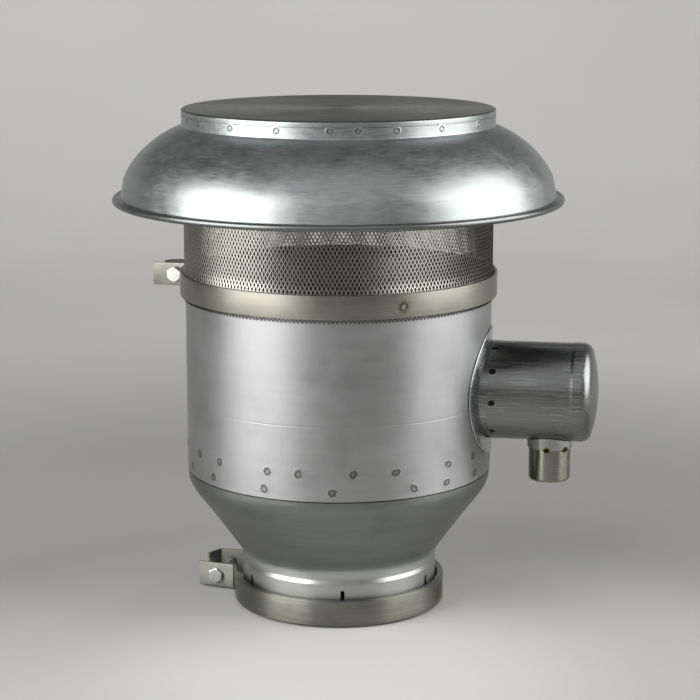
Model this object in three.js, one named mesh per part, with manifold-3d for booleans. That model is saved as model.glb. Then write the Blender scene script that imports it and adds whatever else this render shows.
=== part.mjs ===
// Tubular rooftop exhaust fan: a round body on a necked-down duct collar, a spun rain
// hood on an expanded-metal screen, and a side housing for the wiring.
// Millimetres, +Z up. The origin is on the duct axis, in the plane of the bottom edge,
// and +X points along the side housing.
import * as THREE from 'three';
import { mergeVertices } from 'three/addons/utils/BufferGeometryUtils.js';
import Module from 'manifold-3d';

const wasm = await Module();
wasm.setup();

// ---------------------------------------------------------------- driving dimensions
const SHELL_SIDES = 40;
const MOTOR_SIDES = 32;
const SMALL_SIDES = 24;
const GAP = 0.3;
const SHEET = 1.2;

const COLLAR_R = 98.3;
const COLLAR_TOP_R = 96.8;
const COLLAR_TOP_Z = 56;
const COLLAR_SHOULDER_Z = 41.5;
const COLLAR_SLOTS = 6;
const SLOT_WIDTH = 4;
const SLOT_TOP_Z = 34;
const SLOT_START_AZ = -78;

const BODY_R = 152.4;
const BODY_WALL = 1.5;
const BODY_BOTTOM_Z = 138.8;
const BODY_TOP_Z = 326;
const BODY_IN_R = BODY_R - BODY_WALL - GAP;

const LOWER_BAND = { outR: 106.3, inR: 100.5, z0: 0, z1: 25.4, corner: 1.8, sheet: 2 };
const UPPER_BAND = { outR: 157.7, inR: 155, z0: 314.3, z1: 337.4 };
const EAR = 3;

const HOOD_TOP_Z = 497.5;
const LID_R = 154.3;
const LID_SKIRT_R = 153.2;
const LID_SKIRT_WALL = 1;
const NECK_R = 154.3;
const NECK_TOP_Z = 491.6;
const NECK_BOTTOM_Z = 482.3;
const BEAD_R = 219.6;
const BEAD_Z = 408.8;
const BEAD_TUBE = 3.2;
const HOOD_SHEET = 0.9;

const SCREEN_R = 153.5;
const SCREEN_SKIRT_R = 154.7;
const SCREEN_WALL = 1.6;
const SCREEN_BOTTOM_Z = 310;
const SCREEN_BEND_Z = 342.5;

const POD_Z = 220.5;
const POD_R = 49;
const POD_WALL = 1;
const POD_START_X = 157;
const POD_END_X = 260;
const POD_CORNER = 13;
const POD_CROWN = 5.5;
const NECK_TUBE_R = 47.6;
const SADDLE_R = 64;
const STUB_X = 213;
const STUB_R = 20.7;
const STUB_BOTTOM_Z = 132;
const STUB_WALL = 1.4;
const WIREWAY_R = 19;
const WIREWAY_WALL = 1.4;

const DRUM_R = 62;
const DRUM_Z0 = 198;
const DRUM_Z1 = 276;
const SHAFT_R = 6.2;
const BEARING_R = 16;
const STATOR_Z0 = 216;
const STATOR_Z1 = 252;
const HUB_R = 42;
const BLADES = 6;
const BLADE_TIP_R = 146.5;

const COLOURS = {
  body: 0x9a989b,
  cone: 0x868a86,
  hood: 0x98a0a2,
  screen: 0x8f8e88,
  band: 0x85837c,
  pod: 0x767a80,
  zinc: 0xc8cac8,
  galvanised: 0xa9aca8,
  painted: 0x44474a,
  laminations: 0x5a5a5c,
  copper: 0xa5623a,
  bearing: 0xbfc2c4,
  blade: 0xb4b8ba,
  rubber: 0x1d1d1e,
  plastic: 0x2c2a28,
};

// ---------------------------------------------------------------- helpers
const rad = THREE.MathUtils.degToRad;
const group = new THREE.Group();

function metal(colour, roughness = 0.45, metalness = 0.9) {
  return new THREE.MeshStandardMaterial({ color: colour, roughness, metalness });
}

function addPart(name, geometry, material) {
  const mesh = new THREE.Mesh(geometry, material);
  mesh.name = name;
  group.add(mesh);
  return mesh;
}

// A point in plan from its radius and its angle from +X.
function polar(radius, degrees) {
  return new THREE.Vector2(radius * Math.cos(rad(degrees)), radius * Math.sin(rad(degrees)));
}

// Merge shared corners and drop the slivers that a profile leaves on its axis.
function closed(geometry) {
  geometry.deleteAttribute('normal');
  geometry.deleteAttribute('uv');
  const merged = mergeVertices(geometry, 1e-4);
  const kept = [];
  for (let i = 0; i < merged.index.count; i += 3) {
    const corners = [0, 1, 2].map((k) => merged.index.getX(i + k));
    if (new Set(corners).size === 3) kept.push(...corners);
  }
  merged.setIndex(kept);
  return merged;
}

function solid(geometry) {
  const shape = closed(geometry);
  const vertProperties = new Float32Array(shape.attributes.position.array);
  const triVerts = new Uint32Array(shape.index.array);
  return new wasm.Manifold(new wasm.Mesh({ numProp: 3, vertProperties, triVerts }));
}

function geometryOf(shape) {
  const mesh = shape.getMesh();
  const geometry = new THREE.BufferGeometry();
  geometry.setAttribute('position', new THREE.BufferAttribute(mesh.vertProperties, 3));
  geometry.setIndex(Array.from(mesh.triVerts));
  return geometry;
}

// The line that runs beside a line of points, to its left, at a fixed distance.
function offsetLine(points, distance) {
  const normals = points.slice(1).map((point, i) => {
    const step = point.clone().sub(points[i]).normalize();
    return new THREE.Vector2(-step.y, step.x);
  });
  return points.map((point, i) => {
    const before = normals[Math.max(i - 1, 0)];
    const after = normals[Math.min(i, normals.length - 1)];
    const mean = before.clone().add(after).normalize();
    return point.clone().addScaledVector(mean, distance / mean.dot(after));
  });
}

// A closed outline: the line, and back along its offset.
function wall(points, thickness) {
  return [...points, ...offsetLine(points, thickness).reverse()];
}

function points(...pairs) {
  return pairs.map(([x, y]) => new THREE.Vector2(x, y));
}

// Turn a closed outline of (radius, height) about Z. It may run along the axis.
function turned(outline, sides = SHELL_SIDES) {
  const ring = [...outline, outline[0]];
  const path = THREE.ShapeUtils.area(outline) > 0 ? ring : ring.reverse();
  const geometry = new THREE.LatheGeometry(path, sides);
  geometry.rotateX(Math.PI / 2);
  return closed(geometry);
}

function tube(outR, inR, z0, z1, sides = SHELL_SIDES) {
  return turned(points([inR, z0], [outR, z0], [outR, z1], [inR, z1]), sides);
}

// A solid rod, or with flat sides a hexagon when sides is 6.
function rod(radius, z0, z1, sides = SMALL_SIDES) {
  const geometry = new THREE.CylinderGeometry(radius, radius, z1 - z0, sides);
  geometry.rotateX(Math.PI / 2);
  geometry.translate(0, 0, (z0 + z1) / 2);
  return closed(geometry);
}

// Lay a shape made about Z along the side housing's axis.
function alongPod(geometry) {
  geometry.rotateY(Math.PI / 2);
  geometry.translate(0, 0, POD_Z);
  return geometry;
}

function extruded(outline, z0, z1) {
  const area = THREE.ShapeUtils.area(outline);
  const shape = new THREE.Shape(area > 0 ? outline : [...outline].reverse());
  const geometry = new THREE.ExtrudeGeometry(shape, { depth: z1 - z0, bevelEnabled: false });
  geometry.translate(0, 0, z0);
  return geometry;
}

// ---------------------------------------------------------------- duct collar and cone
function ductCollar() {
  const outside = points(
    [COLLAR_R, 0],
    [COLLAR_R, COLLAR_SHOULDER_Z],
    [COLLAR_R - 0.4, COLLAR_SHOULDER_Z + 2],
    [COLLAR_TOP_R, COLLAR_SHOULDER_Z + 3.5],
    [COLLAR_TOP_R, COLLAR_TOP_Z],
  );
  let shape = solid(turned(wall(outside, SHEET)));
  for (let i = 0; i < COLLAR_SLOTS; i += 1) {
    const straight = SLOT_TOP_Z - SLOT_WIDTH / 2;
    const slot = new THREE.BoxGeometry(20, SLOT_WIDTH, straight + 1);
    slot.translate(COLLAR_R, 0, (straight - 1) / 2);
    const round = new THREE.CylinderGeometry(SLOT_WIDTH / 2, SLOT_WIDTH / 2, 20, 12);
    round.rotateZ(Math.PI / 2);
    round.translate(COLLAR_R, 0, straight);
    const turn = new THREE.Matrix4().makeRotationZ(rad(SLOT_START_AZ + (360 / COLLAR_SLOTS) * i));
    shape = shape.subtract(solid(slot.applyMatrix4(turn)));
    shape = shape.subtract(solid(round.applyMatrix4(turn)));
  }
  return geometryOf(shape);
}

function coneTransition() {
  const skirtR = BODY_IN_R;
  const curve = new THREE.CubicBezierCurve(
    new THREE.Vector2(126.7, 92),
    new THREE.Vector2(139.3, 110),
    new THREE.Vector2(148.5, 124),
    new THREE.Vector2(BODY_R, BODY_BOTTOM_Z - GAP),
  );
  const outside = [
    ...points([COLLAR_R + 0.1, 46.3], [COLLAR_R + 0.4, 51.5], [101.8, 57.6]),
    ...curve.getPoints(4),
    ...points([skirtR, BODY_BOTTOM_Z - GAP], [skirtR, 157.6]),
  ];
  return turned(wall(outside, SHEET));
}

// ---------------------------------------------------------------- body and fan shroud
function podHole(radius, x0, x1, sides = SMALL_SIDES) {
  return solid(alongPod(rod(radius, x0, x1, sides)));
}

function bodyShell() {
  const shell = solid(tube(BODY_R, BODY_R - BODY_WALL, BODY_BOTTOM_Z, BODY_TOP_Z));
  return geometryOf(shell.subtract(podHole(WIREWAY_R + GAP, 120, 180)));
}

function fanShroud() {
  const inside = points([145.4, 159.2], [146.2, 161.5], [149.2, 164], [149.2, 197]);
  return turned(wall(inside, -SHEET));
}

function motorStrut(azimuth) {
  const plan = points([DRUM_R + 0.4, -1.2], [147.6, -1.2], [147, 15]);
  const geometry = extruded(wall(plan, -2.4), 240, 262);
  return closed(geometry.rotateZ(rad(azimuth)));
}

// ---------------------------------------------------------------- clamp bands
// Each ear's points are given in plan from the band outwards.
const LOWER_EARS = {
  front: [polar(105.2, 181.6), polar(110.1, 180.6), polar(147.6, 178.4)],
  rear: [polar(105.2, 151.2), polar(146.2, 159.2), polar(150, 166.9)],
  bolt: [polar(128.9, 179.45), polar(133.2, 157.2)],
};
const UPPER_EARS = {
  front: [polar(156.4, 177.3), polar(192.8, 177.3)],
  rear: [polar(156.4, 167.5), polar(179.8, 169.9), polar(186.1, 172.6)],
  bolt: [polar(170.1, 177.3), polar(171.8, 169.2)],
};
const BOLT_R = 4;
const HEAD_FLATS = 13;
const HEAD_HEIGHT = 5.3;
const HEX_CORNER = 1 / Math.cos(Math.PI / 6);

function boltAxis(ears, band) {
  const [start, end] = ears.bolt;
  const height = (band.z0 + band.z1) / 2;
  const from = new THREE.Vector3(start.x, start.y, height);
  const direction = new THREE.Vector3(end.x - start.x, end.y - start.y, 0);
  return { from, span: direction.length(), direction: direction.normalize() };
}

// Stand a shape made about Z on the bolt's axis.
function placeOnBolt(mesh, axis) {
  mesh.position.copy(axis.from);
  mesh.quaternion.setFromUnitVectors(new THREE.Vector3(0, 0, 1), axis.direction);
}

function clampBand(band, ears, profile) {
  const height = band.z1 - band.z0;
  const lap = EAR / band.outR;
  const gapStart = ears.rear[0].angle() + lap;
  const gapEnd = ears.front[0].angle() - lap;
  const reach = band.outR * 1.5;
  const wedge = [
    new THREE.Vector2(0, 0),
    new THREE.Vector2(reach * Math.cos(gapStart), reach * Math.sin(gapStart)),
    new THREE.Vector2(reach * Math.cos(gapEnd), reach * Math.sin(gapEnd)),
  ];
  const cutter = solid(extruded(wedge, band.z0 - 1, band.z1 + 1));
  const low = band.z0 + 0.2;
  const high = band.z1 - 0.2;
  const front = solid(extruded(wall(ears.front, -EAR), low, high));
  const rear = solid(extruded(wall(ears.rear, EAR), low, high));
  const axis = boltAxis(ears, band);
  const hole = new THREE.Mesh(rod(BOLT_R + 0.6, -height, axis.span + height));
  placeOnBolt(hole, axis);
  hole.updateMatrixWorld();
  const drill = solid(hole.geometry.applyMatrix4(hole.matrixWorld));
  const ring = solid(turned(profile)).subtract(cutter);
  return geometryOf(ring.add(front).add(rear).subtract(drill));
}

function lowerBandProfile() {
  const { outR, inR, z0, z1, corner, sheet } = LOWER_BAND;
  const outside = points(
    [inR, z0],
    [outR - corner, z0],
    [outR - corner * 0.3, z0 + corner * 0.3],
    [outR, z0 + corner],
    [outR, z1 - corner],
    [outR - corner * 0.3, z1 - corner * 0.3],
    [outR - corner, z1],
    [inR, z1],
  );
  const inside = points(
    [inR, z1 - sheet],
    [outR - sheet, z1 - sheet],
    [outR - sheet, z0 + sheet],
    [inR, z0 + sheet],
  );
  return [...outside, ...inside];
}

function upperBandProfile() {
  const { outR, inR, z0, z1 } = UPPER_BAND;
  return points([inR, z0], [outR, z0], [outR, z1], [inR, z1]);
}

// A hexagon-head bolt, its lock washer and its nut, on one clamp.
function addFastener(prefix, band, ears) {
  const axis = boltAxis(ears, band);
  const hexR = (HEAD_FLATS / 2) * HEX_CORNER;
  const washerFrom = axis.span + 1.2;
  const nutFrom = washerFrom + 2.3;
  const end = nutFrom + 9.5;
  const head = solid(rod(hexR, -GAP - HEAD_HEIGHT, -GAP, 6));
  const shank = solid(rod(BOLT_R, -GAP - 1, end, 16));
  const nutBody = solid(rod(hexR, nutFrom, nutFrom + 6.5, 6));
  const nutBore = solid(rod(BOLT_R + GAP, nutFrom - 1, nutFrom + 8, 16));
  const bolt = addPart(`${prefix}_clamp_bolt`, geometryOf(head.add(shank)), metal(COLOURS.zinc, 0.25));
  const washerShape = tube(7, BOLT_R + GAP, washerFrom, washerFrom + 2, 16);
  const washer = addPart(`${prefix}_clamp_lock_washer`, washerShape, metal(COLOURS.zinc, 0.3));
  const nut = addPart(`${prefix}_clamp_nut`, geometryOf(nutBody.subtract(nutBore)), metal(COLOURS.zinc, 0.3));
  [bolt, washer, nut].forEach((mesh) => placeOnBolt(mesh, axis));
}

function lowerBandWeld() {
  const azimuths = [-15.5, -13, -10.5];
  const outside = azimuths.map((azimuth) => polar(LOWER_BAND.inR - GAP - 0.1, azimuth));
  const inside = azimuths.map((azimuth) => polar(COLLAR_R + GAP, azimuth)).reverse();
  return closed(extruded([...outside, ...inside], 3, 9));
}

// ---------------------------------------------------------------- hood and screen
function hoodLid() {
  const outside = points(
    [LID_SKIRT_R, 474],
    [LID_SKIRT_R, NECK_TOP_Z + 0.4],
    [LID_R, NECK_TOP_Z + 0.4],
    [LID_R, HOOD_TOP_Z - 1.8],
    [LID_R - 0.5, HOOD_TOP_Z - 0.5],
    [LID_R - 1.8, HOOD_TOP_Z],
    [0, HOOD_TOP_Z],
  );
  const inside = points(
    [0, HOOD_TOP_Z - SHEET],
    [LID_R - 1.8, HOOD_TOP_Z - SHEET],
    [LID_SKIRT_R - LID_SKIRT_WALL, HOOD_TOP_Z - 3.2],
    [LID_SKIRT_R - LID_SKIRT_WALL, 474],
  );
  return turned([...outside, ...inside]);
}

function hoodBell() {
  const skirt = new THREE.CubicBezierCurve(
    new THREE.Vector2(155.3, 480.6),
    new THREE.Vector2(184.1, 470.1),
    new THREE.Vector2(209.3, 441),
    new THREE.Vector2(214.9, 411.6),
  );
  const curve = skirt.getPoints(7);
  const neck = points([NECK_R, NECK_TOP_Z], [NECK_R, NECK_BOTTOM_Z]);
  const outside = [...neck, ...curve];
  const inside = offsetLine(outside, -HOOD_SHEET).reverse();
  const bead = [];
  for (let degrees = 135; degrees >= -150; degrees -= 57) {
    bead.push(polar(BEAD_TUBE, degrees).add(new THREE.Vector2(BEAD_R, BEAD_Z)));
  }
  return turned([...outside, ...bead, ...inside]);
}

function screen() {
  const outside = points(
    [SCREEN_SKIRT_R, SCREEN_BOTTOM_Z],
    [SCREEN_SKIRT_R, SCREEN_BEND_Z - 1.5],
    [SCREEN_R, SCREEN_BEND_Z + 1.5],
    [SCREEN_R, 405],
    [151.9, 468],
    [151.9, 487],
  );
  return turned(wall(outside, SCREEN_WALL));
}

// ---------------------------------------------------------------- side housing
function sideHousing() {
  const corner = POD_CORNER * 0.3;
  const shoulder = POD_END_X - POD_CROWN - POD_CORNER;
  const outside = points(
    [POD_R, POD_START_X],
    [POD_R, shoulder],
    [POD_R - POD_CORNER * 0.1, shoulder + POD_CORNER * 0.42],
    [POD_R - corner, shoulder + POD_CORNER - corner],
    [POD_R - POD_CORNER * 0.6, shoulder + POD_CORNER * 0.93],
    [POD_R - POD_CORNER, POD_END_X - POD_CROWN + 0.6],
    [POD_R * 0.4, POD_END_X - POD_CROWN * 0.2],
    [0, POD_END_X],
  );
  const inside = offsetLine(outside, POD_WALL).reverse();
  inside[0].x = 0;
  const can = solid(alongPod(turned([...outside, ...inside])));
  const opening = rod(17, STUB_BOTTOM_Z, POD_Z);
  opening.translate(STUB_X, 0, 0);
  return geometryOf(can.subtract(solid(opening)));
}

// The body's outside, grown by a gap, that the pieces standing on it are cut with.
function bodySurface(extra) {
  return solid(rod(BODY_R + extra, 0, 500, SHELL_SIDES));
}

function sideNeck() {
  const neck = solid(alongPod(tube(NECK_TUBE_R, NECK_TUBE_R - SHEET, 130, 184)));
  return geometryOf(neck.subtract(bodySurface(GAP)));
}

function saddleFlange() {
  const shell = solid(tube(BODY_R + GAP + 1.5, BODY_R + GAP, 140, 300));
  const disc = podHole(SADDLE_R, 100, 180, SHELL_SIDES);
  const bore = podHole(NECK_TUBE_R + GAP, 90, 190, SHELL_SIDES);
  return geometryOf(shell.intersect(disc).subtract(bore));
}

function cutByPod(geometry) {
  geometry.translate(STUB_X, 0, 0);
  return geometryOf(solid(geometry).subtract(podHole(POD_R + GAP, 100, 300, SHELL_SIDES)));
}

function wirewayTube() {
  const shape = solid(alongPod(tube(WIREWAY_R, WIREWAY_R - WIREWAY_WALL, 40, 172, SMALL_SIDES)));
  return geometryOf(shape.subtract(solid(rod(DRUM_R + GAP, 190, 290, MOTOR_SIDES))));
}

function terminalBlock() {
  const deck = new THREE.BoxGeometry(34, 19, 8);
  deck.translate(207, 0, 258.6);
  let shape = solid(deck);
  for (let i = 0; i < 4; i += 1) {
    const rib = new THREE.BoxGeometry(2, 19, 12);
    rib.translate(192 + i * 10, 0, 253.6);
    shape = shape.add(solid(rib));
  }
  return geometryOf(shape);
}

// The lead from the windings through the wireway tube up to the terminal block.
function motorLead() {
  const route = new THREE.CatmullRomCurve3([
    [48.5, 210.4],
    [66, 210.6],
    [92, 216],
    [132, 220.5],
    [168, 220.5],
    [184, 226],
    [196, 243],
    [197.5, 251],
  ].map(([x, z]) => new THREE.Vector3(x, 0, z)));
  const section = new THREE.Shape();
  section.absarc(0, 0, 2.5, 0, 2 * Math.PI);
  const steps = { steps: 16, curveSegments: 4, bevelEnabled: false, extrudePath: route };
  return closed(new THREE.ExtrudeGeometry(section, steps));
}

// ---------------------------------------------------------------- motor
function motorDrum() {
  const cup = points([9, DRUM_Z0], [DRUM_R, DRUM_Z0], [DRUM_R, DRUM_Z1], [DRUM_R - SHEET, DRUM_Z1],
    [DRUM_R - SHEET, DRUM_Z0 + 2], [9, DRUM_Z0 + 2]);
  return geometryOf(solid(turned(cup, MOTOR_SIDES)).subtract(podHole(WIREWAY_R - WIREWAY_WALL, 40, 80)));
}

function motorDrumLid() {
  const skirtR = DRUM_R + GAP + SHEET;
  const outside = points([skirtR, 264], [skirtR, 277.5], [DRUM_R - 2, 279], [0, 281]);
  const inside = points([0, 279.6], [DRUM_R - 2, 277.6], [DRUM_R + GAP, 276.4], [DRUM_R + GAP, 264]);
  return turned([...outside, ...inside], MOTOR_SIDES);
}

function endPlate(faceZ, towardsRotor) {
  const plate = [[9, 0], [60.4, 0], [60.4, 3], [18.5, 3], [18.5, 11], [16.3, 11], [16.3, 2], [9, 2]];
  return turned(plate.map(([r, z]) => new THREE.Vector2(r, faceZ + towardsRotor * z)), MOTOR_SIDES);
}

// ---------------------------------------------------------------- impeller
function impellerHub() {
  const outline = points([SHAFT_R + GAP, 162], [12, 162], [12, 187], [HUB_R - 2, 187], [HUB_R - 2, 158],
    [HUB_R, 158], [HUB_R, 191], [HUB_R - 2, 193], [SHAFT_R + GAP, 193]);
  return turned(outline, SMALL_SIDES);
}

// A pressed blade: its section wraps round the axis, and its pitch falls towards the tip.
function impellerBlade(azimuth) {
  const rootR = HUB_R + GAP;
  const length = BLADE_TIP_R - rootR;
  const middleZ = 180;
  const geometry = new THREE.BoxGeometry(length, 1, 1, 5, 4, 1);
  const position = geometry.attributes.position;
  for (let i = 0; i < position.count; i += 1) {
    const outward = position.getX(i) / length + 0.5;
    const across = position.getY(i);
    const radius = rootR + length * outward;
    const chord = THREE.MathUtils.lerp(46, 84, outward);
    const pitch = rad(THREE.MathUtils.lerp(38, 22, outward));
    const camber = 0.08 * chord * (1 - 4 * across * across);
    const height = across * chord * Math.sin(pitch) + camber + 2 * position.getZ(i);
    const sweep = (across * chord * Math.cos(pitch)) / radius;
    position.setXYZ(i, radius * Math.cos(sweep), radius * Math.sin(sweep), middleZ + height);
  }
  return closed(geometry.rotateZ(rad(azimuth)));
}

function impellerNut() {
  const body = solid(rod(9.5, 154, 161.7, 6));
  return geometryOf(body.subtract(solid(rod(SHAFT_R + GAP, 150, 165))));
}

// ---------------------------------------------------------------- assembly: fixed parts
const bodyMetal = metal(COLOURS.body, 0.42);
const bandMetal = metal(COLOURS.band, 0.48);
const podMetal = metal(COLOURS.pod, 0.32);
const galvanised = metal(COLOURS.galvanised, 0.4);
const rubber = metal(COLOURS.rubber, 0.85, 0);

addPart('body_shell', bodyShell(), bodyMetal);
addPart('cone_transition', coneTransition(), metal(COLOURS.cone, 0.5));
addPart('duct_collar', ductCollar(), bodyMetal);
addPart('fan_shroud', fanShroud(), galvanised);
addPart('lower_clamp_band', clampBand(LOWER_BAND, LOWER_EARS, lowerBandProfile()), bandMetal);
addPart('lower_band_weld', lowerBandWeld(), bandMetal);
addFastener('lower', LOWER_BAND, LOWER_EARS);

addPart('saddle_flange', saddleFlange(), podMetal);
addPart('side_neck', sideNeck(), podMetal);
addPart('side_housing', sideHousing(), podMetal);
addPart('conduit_stub', cutByPod(tube(STUB_R, STUB_R - STUB_WALL, STUB_BOTTOM_Z, 190, MOTOR_SIDES)), galvanised);
addPart('conduit_collar', cutByPod(tube(22.2, STUB_R + GAP, 164.5, 190, MOTOR_SIDES)), galvanised);
const bushing = tube(STUB_R - STUB_WALL - GAP, 9, 152, 160, SMALL_SIDES);
addPart('conduit_bushing', bushing.translate(STUB_X, 0, 0), rubber);
addPart('wireway_tube', wirewayTube(), galvanised);
addPart('wireway_grommet', alongPod(tube(WIREWAY_R - WIREWAY_WALL - GAP, 3.4, 146, 154, SMALL_SIDES)), rubber);
const bracket = new THREE.BoxGeometry(72, 20, 2);
addPart('terminal_bracket', closed(bracket.translate(192, 0, 264)), galvanised);
addPart('terminal_block', terminalBlock(), metal(COLOURS.plastic, 0.5, 0));
addPart('motor_lead', motorLead(), rubber);

addPart('motor_drum', motorDrum(), galvanised);
addPart('motor_drum_lid', motorDrumLid(), galvanised);
[45, 135, 225, 315].forEach((azimuth, i) => {
  addPart(`motor_strut_${i + 1}`, motorStrut(azimuth), galvanised);
});
const painted = metal(COLOURS.painted, 0.5);
addPart('lower_end_plate', endPlate(201, 1), painted);
addPart('upper_end_plate', endPlate(268, -1), painted);
addPart('stator_core', tube(60.4, 31, STATOR_Z0, STATOR_Z1, MOTOR_SIDES), metal(COLOURS.laminations, 0.6));
addPart('lower_winding', tube(47, 33, 205.5, STATOR_Z0 - GAP, MOTOR_SIDES), metal(COLOURS.copper, 0.4));
addPart('upper_winding', tube(47, 33, STATOR_Z1 + GAP, 262, MOTOR_SIDES), metal(COLOURS.copper, 0.4));
addPart('lower_bearing', tube(BEARING_R, SHAFT_R + GAP, 203.4, 212, SMALL_SIDES), metal(COLOURS.bearing, 0.2));
addPart('upper_bearing', tube(BEARING_R, SHAFT_R + GAP, 257, 265.6, SMALL_SIDES), metal(COLOURS.bearing, 0.2));

// ---------------------------------------------------------------- assembly: impeller
addPart('motor_shaft', rod(SHAFT_R, 150.5, 266.5), metal(COLOURS.bearing, 0.25));
addPart('rotor_core', tube(30.4, SHAFT_R + GAP, STATOR_Z0, STATOR_Z1, SMALL_SIDES), metal(COLOURS.laminations, 0.6));
addPart('impeller_hub', impellerHub(), metal(COLOURS.blade, 0.4));
for (let i = 0; i < BLADES; i += 1) {
  addPart(`impeller_blade_${i + 1}`, impellerBlade((360 / BLADES) * i), metal(COLOURS.blade, 0.4));
}
addPart('impeller_nut', impellerNut(), metal(COLOURS.zinc, 0.3));

// ---------------------------------------------------------------- assembly: hood
addPart('hood_lid', hoodLid(), metal(COLOURS.hood, 0.45));
addPart('hood_bell', hoodBell(), metal(COLOURS.hood, 0.35));
addPart('screen', screen(), metal(COLOURS.screen, 0.5));
addPart('screen_top_ring', tube(150, 148.8, 468, 487), galvanised);
addPart('upper_clamp_band', clampBand(UPPER_BAND, UPPER_EARS, upperBandProfile()), bandMetal);
addFastener('upper', UPPER_BAND, UPPER_EARS);

export default group;
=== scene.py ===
"""Looks of the exhaust hood fan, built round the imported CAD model.

Every thin sheet part is made again as a smooth shell in the place of its CAD node. The sizes below are in
millimetres, as on a drawing; mesh data is in metres, in the row's frame.
"""
import math

import bmesh
import bpy
import numpy as np
from mathutils import Matrix, Vector


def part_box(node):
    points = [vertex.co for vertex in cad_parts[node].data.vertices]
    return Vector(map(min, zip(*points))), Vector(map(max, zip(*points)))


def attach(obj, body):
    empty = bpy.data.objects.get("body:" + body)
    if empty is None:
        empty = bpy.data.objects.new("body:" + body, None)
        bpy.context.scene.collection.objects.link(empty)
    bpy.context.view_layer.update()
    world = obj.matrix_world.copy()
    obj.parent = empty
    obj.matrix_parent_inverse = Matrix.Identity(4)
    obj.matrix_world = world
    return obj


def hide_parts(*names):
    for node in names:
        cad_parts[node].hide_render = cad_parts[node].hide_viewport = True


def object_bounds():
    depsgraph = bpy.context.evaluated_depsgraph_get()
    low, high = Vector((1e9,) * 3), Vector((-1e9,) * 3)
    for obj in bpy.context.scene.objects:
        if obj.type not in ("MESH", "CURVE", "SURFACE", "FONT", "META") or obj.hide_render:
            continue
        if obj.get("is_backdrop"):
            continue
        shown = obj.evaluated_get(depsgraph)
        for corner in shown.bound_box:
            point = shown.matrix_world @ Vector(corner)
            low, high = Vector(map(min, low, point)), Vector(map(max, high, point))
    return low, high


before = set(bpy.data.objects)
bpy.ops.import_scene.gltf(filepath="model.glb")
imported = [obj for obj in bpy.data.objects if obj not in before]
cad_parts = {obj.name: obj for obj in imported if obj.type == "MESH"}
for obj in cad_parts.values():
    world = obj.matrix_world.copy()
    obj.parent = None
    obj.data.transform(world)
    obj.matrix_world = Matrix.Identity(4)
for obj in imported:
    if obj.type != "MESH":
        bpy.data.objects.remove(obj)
cad_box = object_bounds()

MM = 0.001
TAU = 2 * math.pi


def extent(node, side, axis):
    """One side of a CAD node's box, in millimetres: side 0 is low and 1 is high."""
    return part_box(node)[side][axis] / MM


# ------------------------------------------------------------------ sizes from the frame
X, Y, Z = 0, 1, 2
BODY_R = extent("body_shell", 1, X)
BODY_Z0 = extent("body_shell", 0, Z)
BODY_Z1 = extent("body_shell", 1, Z)
COLLAR_R = extent("duct_collar", 1, X)
COLLAR_Z1 = extent("duct_collar", 1, Z)
CONE_Z0 = extent("cone_transition", 0, Z)
CONE_Z1 = extent("cone_transition", 1, Z)
LOWER_BAND_R = extent("lower_clamp_band", 1, X)
LOWER_BAND_Z1 = extent("lower_clamp_band", 1, Z)
UPPER_BAND_R = extent("upper_clamp_band", 1, X)
UPPER_BAND_Z0 = extent("upper_clamp_band", 0, Z)
UPPER_BAND_Z1 = extent("upper_clamp_band", 1, Z)
LID_R = extent("hood_lid", 1, X)
LID_Z0 = extent("hood_lid", 0, Z)
HOOD_Z1 = extent("hood_lid", 1, Z)
NECK_Z1 = extent("hood_bell", 1, Z)
RIM_R = 222.8  # the outside of the bead on the hood's rim
SCREEN_R = extent("screen", 1, X)
SCREEN_Z0 = extent("screen", 0, Z)
SCREEN_Z1 = extent("screen", 1, Z)
POD_R = extent("side_housing", 1, Y)
POD_X0 = extent("side_housing", 0, X)
POD_X1 = extent("side_housing", 1, X)
POD_Z = (extent("side_housing", 0, Z) + extent("side_housing", 1, Z)) / 2
NECK_R = LID_R - 0.1
NECK_TUBE_R = extent("side_neck", 1, Y)
SADDLE_R = extent("saddle_flange", 1, Y)
POD_START = POD_X0 - 2  # the can starts a little inside the body's wall
STUB_X = (extent("conduit_stub", 0, X) + extent("conduit_stub", 1, X)) / 2
STUB_R = extent("conduit_stub", 1, Y)
STUB_Z0 = extent("conduit_stub", 0, Z)
STUB_COLLAR_Z = 164.5
FRONT = -80.0  # the plan angle that the camera looks from, in degrees
FLOOR_GAP = 2.2  # how far the collar reaches below the frame's floor


# ------------------------------------------------------------------ mesh helpers
def polar(radius, degrees):
    """A point in plan from its radius and its angle from +X."""
    return (radius * math.cos(math.radians(degrees)), radius * math.sin(math.radians(degrees)))


def rounded(corners, steps=6, closed=False):
    """A line through corners (x, y) or (x, y, radius), with an arc in place of a corner that has a radius."""
    count = len(corners)
    line = []
    for i, corner in enumerate(corners):
        here = np.array(corner[:2], float)
        radius = corner[2] if len(corner) > 2 else 0
        if radius == 0 or (not closed and i in (0, count - 1)):
            line.append(tuple(here))
            continue
        before = np.array(corners[i - 1][:2], float) - here
        after = np.array(corners[(i + 1) % count][:2], float) - here
        before /= np.linalg.norm(before)
        after /= np.linalg.norm(after)
        half = math.acos(np.clip(before @ after, -1, 1)) / 2
        reach = radius / math.tan(half)
        middle = (before + after) / np.linalg.norm(before + after)
        centre = here + middle * radius / math.sin(half)
        start = here + before * reach - centre
        turn = math.pi - 2 * half
        if start[0] * (here - centre)[1] - start[1] * (here - centre)[0] < 0:
            turn = -turn
        for k in range(steps + 1):
            a = turn * k / steps
            x = start[0] * math.cos(a) - start[1] * math.sin(a)
            y = start[0] * math.sin(a) + start[1] * math.cos(a)
            line.append((centre[0] + x, centre[1] + y))
    return line


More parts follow.
